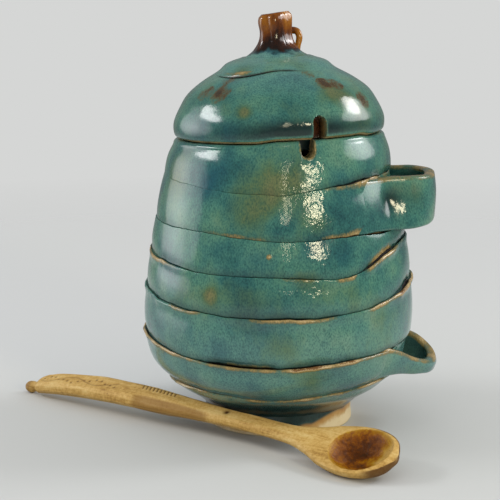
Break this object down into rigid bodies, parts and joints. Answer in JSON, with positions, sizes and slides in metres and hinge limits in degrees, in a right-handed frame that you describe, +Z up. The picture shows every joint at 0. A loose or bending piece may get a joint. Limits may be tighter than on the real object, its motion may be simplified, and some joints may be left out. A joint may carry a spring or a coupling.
{
  "type": "honey pot with lid and spoon",
  "caption": "Round hand-built honey pot of stacked clay strips, with a loose domed lid, a twig-shaped knob, strap loops that hold a spoon, and its carved wooden spoon.",
  "frame": {"origin": "middle of the pot's foot, on the table", "axes": "+Z up along the pot's axis, +X towards the side with the strap loops, -Y towards the side where the spoon lies"},
  "size_m": [0.181, 0.1435, 0.1705],
  "materials": {
    "bare_clay": "bare fired stoneware, matt and slightly sandy",
    "pot_glaze": "glossy mottled teal glaze that breaks to cream and brown on edges",
    "loop_glaze": "the same glaze, a little greener, with brown edges",
    "lid_glaze": "the same glaze, darker at the edge, with rust patches",
    "amber_glaze": "glossy amber-brown glaze, darker in its hollows",
    "spoon_wood": "pale carved wood, hand finished, with a dark stain in the bowl"
  },
  "bodies": {
    "pot": {"base": "bare_clay", "band_1": "pot_glaze", "band_2": "pot_glaze", "band_3": "pot_glaze", "band_4": "pot_glaze", "band_5": "pot_glaze", "band_6": "pot_glaze", "band_7": "pot_glaze", "upper_loop": "loop_glaze", "lower_loop": "loop_glaze"},
    "lid": {"lid_skirt": "lid_glaze", "lid_cap": "lid_glaze", "lid_flange": "bare_clay", "stem": "amber_glaze", "tendril": "amber_glaze"},
    "spoon": {"spoon": "spoon_wood"}
  },
  "joints": [
    {"name": "lid_lift", "type": "slide", "parent": "pot", "child": "lid", "axis": [-0.0384, 0, 0.9993], "range_m": [0, 0.06]},
    {"name": "spoon_lift", "type": "slide", "parent": "pot", "child": "spoon", "axis": [-0.5239, -0.7107, 0.4695], "range_m": [0, 0.12]}
  ]
}
